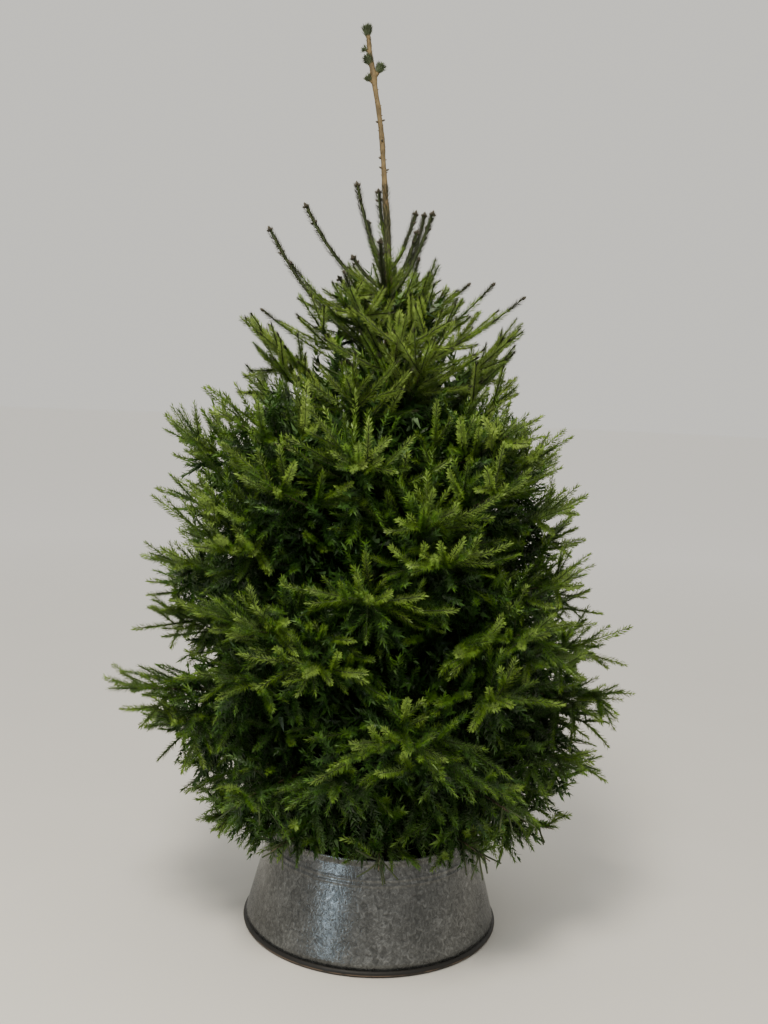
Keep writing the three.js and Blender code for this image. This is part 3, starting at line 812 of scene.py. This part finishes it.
for limb in limbs:
    level, path, group, tier = limb["level"], limb["path"], limb["group"], limb["tier"]
    stands_apart = tier >= OPEN_TIER
    bare = BOUGH_SHARE if tier < BOUGH_LEVELS else 0
    hang = level["hang"] * (OPEN_HANG if stands_apart else 1)
    seed = 1000 + 100 * tier + limb["order"]
    first, nodes, spray = max(0.24, bare), level.get("nodes"), level["spray"]
    if not limb["main"]:
        first, nodes = 0.30 if level is LOWEST else 0.40, 1 if stands_apart else 3
        seed, spray = seed + 5000, spray * 0.9
    sprays = limb_sprays(path, first, nodes, spray, hang, limb["order"] % 2, random_from(seed))
    if stands_apart:
        sprays = [spray for k, spray in enumerate(sprays) if k % 3 < 2 or k == 5]
    for k, spray in enumerate(sprays):
        upright = k % 3 == 2 and k < len(sprays) - 1
        if upright and not stands_apart and fine.uniform() < 0.55 * straightness(spray["root"][2]):
            continue
        grow_spray(spray, group)
    # Old shoots fill the dark core and inner shoots the room between the sprays, both darkened as painted
    # shade.
    for share in OPEN_OLD_SHARES if stands_apart else OLD_SHARES:
        roll = fine.uniform(0, 2 * math.pi)
        old = spray_on(path, share, roll, math.radians(62), 0.16, 0.090, 0.5 * level["hang"], roll)
        grow_spray(old, group, "old", 0.35)
    for k, share in enumerate(np.linspace(0.36, 0.90, INNER_COUNTS[tier])):
        roll = math.radians(90) * (-1) ** k + fine.uniform(-1.0, 1.0)
        inner = spray_on(path, share, roll, math.radians(52), 0.15, 0.080, 0.3 * level["hang"], roll)
        grow_spray(inner, group, "inner", 0.30)
    # The limb's own stem is clad in shoots, darker the nearer they are to the trunk as painted shade.
    points = path(STEM_SHARES)
    for share, start, stop in zip(STEM_SHARES, points[:-1], points[1:]):
        add_stretch(start, stop, UP, depth_at(stop) - 0.45, group, "rope" if stop[2] > 1.12 else "full",
                    girth=limb_radius(limb, min(share + 0.05, 1.0)))
    for share in HANGING_SHARES if level is LOWEST else ():
        roll = math.radians(-90) + fine.uniform(-0.5, 0.5)
        grow_spray(spray_on(path, share, roll, math.radians(58), 0.135, 0.060, 0.35), group)
# More old shoots round the trunk fill its core, darkened as painted shade.
for height in CORE_HEIGHTS:
    foot, radius = trunk_at(height)
    heading = way_at(fine.uniform(0, 2 * math.pi), fine.uniform(-0.2, 0.5))
    group = "low" if height < LEVELS[2]["z"] else "middle" if height < LEVELS[4]["z"] else "high"
    core = dict(root=foot + heading * radius * 0.8, along=unit(heading), across=unit(np.cross(UP, heading)),
                length=0.17, width=0.09)
    grow_spray(core, group, "old", 0.35)
for height in UPPER_HEIGHTS:
    foot, radius = trunk_at(height)
    upright = 22 * np.clip((height - 1.22) / 0.12, 0, 1)
    turn, steep = fine.uniform(0, 2 * math.pi), math.radians(fine.uniform(22, 46) + upright)
    heading = np.array([math.cos(turn) * math.cos(steep), math.sin(turn) * math.cos(steep), math.sin(steep)])
    reach = fine.uniform(0.080, 0.120) * (1 - 0.30 * (height > 1.30))
    tone = 0.42 + fine.uniform(-0.2, 0.25)
    add_shoot(foot + heading * radius, heading, UP, reach, tone, "high", "rope_end",
              fine.uniform(0.0, 0.2), most_out=ANYWHERE)


# The last whorl: thin shoots that curve up beside the leader, green at the foot, brown and
# nearly bare above, with a knot of brown buds on each end.
SHOOTS = [  # height of the foot, turn in degrees, reach, height of the tip
    (1.305, 186, 0.176, 1.493), (1.370, 215, 0.084, 1.533), (1.190, 178, 0.255, 1.448),
    (1.318, -48, 0.118, 1.476),
]
THIN_SHOOTS = [
    (1.305, 35, 0.080, 1.494), (1.425, 165, 0.024, 1.530), (1.375, 20, 0.054, 1.492),
    (1.335, -25, 0.058, 1.448), (1.330, 196, 0.078, 1.394), (1.275, 168, 0.108, 1.356),
    (1.235, 4, 0.158, 1.352), (1.310, 95, 0.115, 1.440), (1.350, 130, 0.075, 1.475),
    (1.285, -100, 0.125, 1.415), (1.240, 72, 0.165, 1.395), (1.250, -70, 0.150, 1.380),
    (1.130, 174, 0.270, 1.285), (1.150, -8, 0.265, 1.325), (1.170, -35, 0.235, 1.340),
    (1.180, 145, 0.225, 1.350), (1.175, -115, 0.215, 1.345), (1.165, 52, 0.230, 1.335),
    (1.190, -155, 0.220, 1.370), (1.180, 108, 0.215, 1.350),
]
# How steeply a shoot starts as a share of its mean slope, the radius of its wood, how many of its
# eight stretches are green, and how the needles stand on the others.
UPPER_SHOOT = (0.6, 0.0052, 4, "sparse")
LOWER_SHOOT = (0.85, 0.0024, 7, "rope_end")
UPPER_FROM = 1.26  # thin shoots that start lower than this are of the lower kind
STRETCHES = 8
SHOOT_TAPER = 0.00012  # off the radius at each stretch
BUD_LENGTH = 0.0095
BUD_RADIUS = 0.0034
bud_parts = []


def add_bud(foot, way, length=BUD_LENGTH, radius=BUD_RADIUS):
    """A pointed bud, round in the middle."""
    way = unit(way)
    stations = np.array([0.0, 0.3, 0.62, 1.0])[:, None]
    bud_parts.append(limb_mesh(foot + way * length * stations,
                               radius * np.array([0.6, 1.0, 0.85, 0.12]), 7))


def bud_ring(foot, way, count, turn):
    """Side buds round a shoot."""
    way = unit(way)
    left = unit(np.cross(way, [0.3, 0.9, 0.2]))
    over = np.cross(way, left)
    for k in range(count):
        angle = turn + 2 * math.pi * k / count
        out = left * math.cos(angle) + over * math.sin(angle)
        add_bud(foot + out * 0.0015, out + way * 0.55, BUD_LENGTH * 0.8, BUD_RADIUS * 0.85)


for order, (height, degrees, reach, tip) in enumerate(SHOOTS + THIN_SHOOTS):
    centre, radius = trunk_at(height)
    outward = way_at(math.radians(degrees))
    share = np.linspace(0.03, 1.0, STRETCHES + 1)[:, None]
    budded = height > UPPER_FROM or order < len(SHOOTS)
    low, wood, green, bare_style = UPPER_SHOOT if budded else LOWER_SHOOT
    climb = (tip - height) * share * (low + (1 - low) * share ** 2)
    points = centre + outward * (0.5 * radius * (1 - share) + reach * share) + UP * climb
    for k, (start, stop) in enumerate(zip(points[:-1], points[1:])):
        twigs.append((start, (start + stop) / 2, stop, wood - SHOOT_TAPER * k, "high"))
        tone, style = (0.55, "rope") if k < green else (DULL, bare_style)
        add_stretch(start, stop, UP, tone, "high", style, girth=wood * 0.8, most_out=ANYWHERE)
    way = points[-1] - points[-2]
    add_bud(points[-1] - unit(way) * 0.002, way)
    if budded:
        bud_ring(points[-1] - unit(way) * 0.003, way, 3, order)
        bud_ring(points[-2] + way * 0.1, way, 2, order * 2.0)


# Leader: the scaly brown stem of this year's growth, which goes on from the trunk's end with
# club-shaped tufts of short grey-green needles and a last tuft on its end.
TIP_STEM = [  # height, place along x, radius: thickest where the side tufts spring from it
    (1.735, -0.0571, 0.0049), (1.746, -0.0590, 0.0064), (1.756, -0.0605, 0.0072),
    (1.768, -0.0630, 0.0056), (1.795, -0.0692, 0.0049), (1.817, -0.0720, 0.0047),
    (1.836, -0.0755, 0.0034)]
TIP_STATIONS = 40
FRONT = [0, -1, 0]
STALK_SHARE = 0.30  # the lower part of a tuft is its scaly stalk
STALK_RADIUS = 0.0046
TUFTS = [  # foot x, foot z, tip x, tip z, size against the largest
    (-0.0725, 1.822, -0.0765, 1.843, 1.0),
    (-0.064, 1.768, -0.073, 1.787, 0.85),
    (-0.057, 1.753, -0.047, 1.772, 0.9),
    (-0.061, 1.741, -0.070, 1.750, 0.6),
    (-0.071, 1.801, -0.080, 1.805, 0.4),
]
LEADER_BUDS = [  # height, turn in degrees
    (1.569, 0), (1.573, 180), (1.592, 170), (1.662, 185), (1.666, 8), (1.700, 120), (1.625, 270),
    (1.640, 60), (1.540, 95)]
LEADER_BUD = (0.0065, 0.0022)  # length, radius
FEW_FROM, FEW_TO, FEW_STEP = 1.21, 1.52, 0.03  # the stem's needles stand sparse at these heights
FEW_GREEN = 1.42  # up to here they are green
stem_points = np.array([(x, 0.0, z) for z, x, _ in TIP_STEM])
tip_heights = np.linspace(TIP_STEM[0][0], TIP_STEM[-1][0], TIP_STATIONS)
tip_x, tip_radii = (np.interp(tip_heights, stem_points[:, 2], [row[k] for row in TIP_STEM])
                    for k in (1, 2))
tip_line = np.stack([tip_x, 0 * tip_x, tip_heights], axis=1)
leader_parts = [limb_mesh(tip_line, tip_radii, 14, 0.0006, 200.0)]
tufts = []
for foot_x, foot_z, tip_x, tip_z, size in TUFTS:
    foot = np.array([foot_x, 0.0, foot_z])
    way = np.array([tip_x, -0.002, tip_z]) - foot
    tufts.append((foot, way, size))
    stalk = [foot + way * share for share in (-0.1, 0.3, 0.6, 0.85)]
    radii = STALK_RADIUS * (0.5 + 0.5 * size) * np.array([0.8, 1.0, 0.9, 0.5])
    leader_parts.append(limb_mesh(stalk, radii, 9, 0.0005, 200.0))
leader = mesh_piece("leader_tip_stem", *joined(leader_parts), trunk_finish)
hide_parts("leader_tip")
for start, stop in zip(stem_points[:-1], stem_points[1:]):
    add_stretch(start, stop, FRONT, DULL, "high", "scale", girth=0.0044, most_out=ANYWHERE)
for foot, way, size in tufts:
    length = np.linalg.norm(way) * (1 - STALK_SHARE)
    add_shoot(foot + way * STALK_SHARE, way, FRONT, length, DULL, "high", f"tuft_{size}",
              girth=0.003, most_out=ANYWHERE)
for height, degrees in LEADER_BUDS:
    centre, radius = trunk_at(height)
    out = way_at(math.radians(degrees), 0.5)
    add_bud(centre + out * (radius - 0.001), out, *LEADER_BUD)
for height in np.arange(FEW_FROM, FEW_TO, FEW_STEP):
    start, radius = trunk_at(height)
    stop, _ = trunk_at(height + FEW_STEP)
    add_shoot(start, stop - start, FRONT, FEW_STEP, 0.3 if height < FEW_GREEN else DULL, "high",
              "sparse", girth=radius, most_out=ANYWHERE)

bud_finish = Finish("brown_buds", Roughness=0.62)
scales = bud_finish.grain(420.0, 3.0)
bud_finish.set(Base_Color=bud_finish.blend(scales, (0.015, 0.013, 0.008), (0.052, 0.040, 0.020)))
bud_finish.relief(scales, 0.0004)
buds = mesh_piece("buds", *joined(bud_parts), bud_finish)
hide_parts("leader_tip", *[f"foliage_8_{k + 1}" for k in range(len(SHOOTS))])


# Needles: flat, sharp and stiff, set all round the shoot and swept forward, lighter on its young end.
# Each is a mesh of one or two faces, and the needles of a tone make one or more pieces to each part
# of the tree. Deep in the shade, where only their mass shows, they are fewer, longer and wider.
STYLES = {  # needle length and width, step along the shoot, lean from the shoot at its foot and end
    "full": (0.0126, 0.0026, 0.00060, 56, 44),
    "old": (0.0290, 0.0072, 0.00270, 60, 42),
    "inner": (0.0160, 0.0040, 0.00125, 54, 44),
    "rope": (0.0132, 0.0016, 0.00031, 49, 39),
    "rope_end": (0.0130, 0.0016, 0.00032, 49, 35),
    "sparse": (0.0112, 0.0017, 0.00027, 44, 38),
    "scale": (0.0070, 0.0016, 0.00050, 26, 22),
}
for *_, size in TUFTS:
    STYLES[f"tuft_{size}"] = (0.0175 * (0.50 + 0.50 * size), 0.0021, 0.00006 / size, 30, 42)
# Deep, dark, mid and bright are one green in painted shade to painted light. Young is the young growth, and
# painted light on the most lit shoots. Olive and straw are the needles near the top, stepped by painted
# light too.
TONES = {
    "deep": (0.009, 0.032, 0.002),
    "dark": (0.019, 0.057, 0.003),
    "mid": (0.040, 0.096, 0.005),
    "bright": (0.076, 0.142, 0.013),
    "young": (0.118, 0.190, 0.025),
    "olive": (0.124, 0.202, 0.024),
    "straw": (0.176, 0.260, 0.042),
    "dull": (0.024, 0.028, 0.011),
    "grey": (0.060, 0.080, 0.038),
    "husk": (0.120, 0.090, 0.046),
}
TONE_EDGES = (0.20, 0.38, 0.58, 0.80)
COARSE_TONES = (0.10, 0.45)  # the deeper in the shade, the fewer and wider the needles
COARSE = (1.6, 1.0)
GOLDEN_TURN = 2.399963  # from one needle to the next, round the shoot
YOUNG_FROM = 0.68  # from here on the needles are young, finer and a tone lighter
BLUNT_FROM = 0.90  # from here on the needles fill the shoot's round end
KITE_TONES = ("young", "olive", "straw", "grey")  # widest in the middle, of two faces
DARK_END = 0.91  # from here on the end of a slender shoot is dull, for its buds
MOST_FACES = 195_000  # triangles in one piece
LADDERS = {  # the tones of a shoot, from painted shade to painted light
    "olive": ("mid", "olive", "olive", "straw", "straw"),
    "green": ("deep", "dark", "mid", "bright", "young"),
}


def needle_finish(name, colour):
    """Needles of one tone, some a little lighter and some a little darker."""
    finish = Finish(name, Specular_IOR_Level=0.38)
    grain = finish.grain(42.0, 3.0)
    darker = tuple(c * 0.66 for c in colour)
    lighter = tuple(min(1.0, c * 1.32) for c in colour)
    finish.set(Base_Color=finish.blend(grain.above(0.5, 0.3), darker, lighter),
               Roughness=0.40 + grain * 0.25)
    return finish


def needle_rows(shoot, random):
    """Corner points of all needles of one shoot, with each needle's place along it."""
    size, width, step, base_lean, end_lean = STYLES[shoot["style"]]
    length = shoot["length"]
    coarse = np.interp(shoot["tone"], COARSE_TONES, COARSE)
    count = max(8, round(length / step / coarse))
    width = width * coarse
    share = (np.arange(count) + random.uniform(0, 1, count)) / count
    bend = UP * shoot["lift"] * length
    axis = units(shoot["heading"] * length + bend * 2 * share[:, None])
    side = np.cross(shoot["over"], axis)
    over = np.cross(axis, side)
    turn = np.arange(count) * GOLDEN_TURN + random.uniform(-0.3, 0.3, count)
    turn += 0.45 * np.sin(2 * turn) * (np.sin(turn) < 0)
    out = np.cos(turn)[:, None] * side + np.sin(turn)[:, None] * over
    lean = np.radians(base_lean + (end_lean - base_lean) * share + random.uniform(-11, 11, count))
    lean *= np.where(share > BLUNT_FROM, random.uniform(0.15, 1.0, count), 1.0)
    way = axis * np.cos(lean)[:, None] + out * np.sin(lean)[:, None]
    size = size * random.uniform(0.80, 1.12, count) * (1 - 0.22 * share ** 3)
    width = width * np.where(share > YOUNG_FROM, 0.84, 1.0)
    around = np.cross(axis, out)
    flat = around + random.uniform(-0.3, 0.3, count)[:, None] * np.cross(around, way)
    flat *= (width / 2 / np.linalg.norm(flat, axis=1))[:, None]
    foot = shoot["root"] + shoot["heading"] * (share * length)[:, None] + bend * (share ** 2)[:, None]
    foot = foot + out * shoot["girth"]
    tip = foot + way * size[:, None]
    belly = foot + (tip - foot) * 0.55
    return foot, belly, tip, flat, share


needle_random = np.random.default_rng(5)
needles = {(group, tone): [] for group in TIERS for tone in TONES}
for shoot in shoots:
    foot, belly, tip, flat, share = needle_rows(shoot, needle_random)
    rope = shoot["style"] in ("rope", "rope_end")
    height = shoot["root"][2]
    olive = needle_random.uniform() < (0.5 + 2.5 * (height - 1.12) if rope else 2.5 * (height - 0.96))
    olive = olive and shoot["style"] not in MOST_OUT
    ladder = LADDERS["olive" if olive else "green"]
    young = (share > YOUNG_FROM) & (not rope)
    steps = np.clip(np.digitize(shoot["tone"], TONE_EDGES) + young, 0, len(ladder) - 1)
    dull = (shoot["tone"] == DULL) | (share > DARK_END) & (shoot["style"] == "rope_end")
    plain = "grey" if shoot["style"].startswith("tuft") else "husk" if shoot["style"] == "scale" else "dull"
    tones = np.where(dull, plain, np.array(ladder)[steps])
    for tone in np.unique(tones):
        chosen = tones == tone
        if tone in KITE_TONES:
            corners = np.stack([foot, belly + flat, tip, belly - flat], axis=1)[chosen]
        else:
            corners = np.stack([foot + flat, tip, foot - flat], axis=1)[chosen]
        needles[shoot["group"], tone].append(corners)

finishes = {tone: needle_finish(f"needle_{tone}", colour) for tone, colour in TONES.items()}
for (group, tone), parts in needles.items():
    if not parts:
        continue
    corners = np.concatenate(parts)
    sides = corners.shape[1]
    most = MOST_FACES // (sides - 2)
    for number, start in enumerate(range(0, len(corners), most)):
        block = corners[start:start + most]
        faces = np.arange(len(block) * sides).reshape(-1, sides)
        piece = mesh_piece(f"needles_{group}_{tone}_{number + 1}", block.reshape(-1, 3), faces,
                           finishes[tone], smooth=False)
        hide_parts(*masses[group], *(["leader_tip"] if group == "high" else []))


# Twig wood: the thin stems of the sprays, and of the shoots that carry the needles, a dark greenish brown: a
# shoot's core of pressed needles with painted shade.
# Each tapers towards its end and grows on from the stem before it.
ROPE_WOOD = 0.0021
SHOOT_WOOD = 0.0013
THIN_GIRTH = 0.001  # shoots whose needles stand further off than this are wrapped round other wood
twig_finish = bark_finish("twig_bark_and_shade", (0.020, 0.035, 0.008), (0.046, 0.062, 0.017))


def bars(points, radii):
    """Many three-sided tapering bars at once, each through the same number of points."""
    points = np.asarray(points)
    along = units(points[-1] - points[0])
    across = units(np.cross(along, [0.31, 0.22, 0.92]))
    over = np.cross(along, across)
    corners = []
    for middle, radius in zip(points, radii):
        for turn in (0, 2 * math.pi / 3, 4 * math.pi / 3):
            out = across * math.cos(turn) + over * math.sin(turn)
            corners.append(middle + out * np.broadcast_to(radius, len(middle))[:, None])
    wall = [(k, (k + 1) % 3, (k + 1) % 3 + 3, k + 3) for k in range(3)]
    quads = np.concatenate([np.array(wall) + 3 * row for row in range(len(points) - 1)])
    faces = (np.arange(len(along))[:, None, None] * len(corners) + quads).reshape(-1, 4)
    return np.stack(corners, axis=1).reshape(-1, 3), faces


for group in TIERS:
    wooded = [shoot for shoot in shoots if shoot["group"] == group and shoot["girth"] < THIN_GIRTH
              and shoot["style"] not in MOST_OUT]
    root = np.array([shoot["root"] for shoot in wooded])
    ahead_by = np.array([shoot["heading"] * shoot["length"] for shoot in wooded])
    bend = np.array([UP * shoot["lift"] * shoot["length"] for shoot in wooded])
    thick = np.array([ROPE_WOOD if shoot["style"].startswith("rope") else SHOOT_WOOD for shoot in wooded])
    parts = [bars([root, root + ahead_by * 0.97 + bend * 0.94], (thick, thick * 0.6))]
    stems = [twig for twig in twigs if twig[4] == group]
    first, middle, last = (np.array([twig[k] for twig in stems]) for k in range(3))
    thick = np.array([twig[3] for twig in stems])
    parts.append(bars([first, middle, last], (thick, thick * 0.9, thick * 0.8)))
    piece = mesh_piece(f"twigs_{group}", *joined(parts), twig_finish)
    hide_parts(*masses[group])

# The boxes of the solids and of the finished tree, as the script's last value.
[[list(corner) for corner in box] for box in (cad_box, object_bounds())]
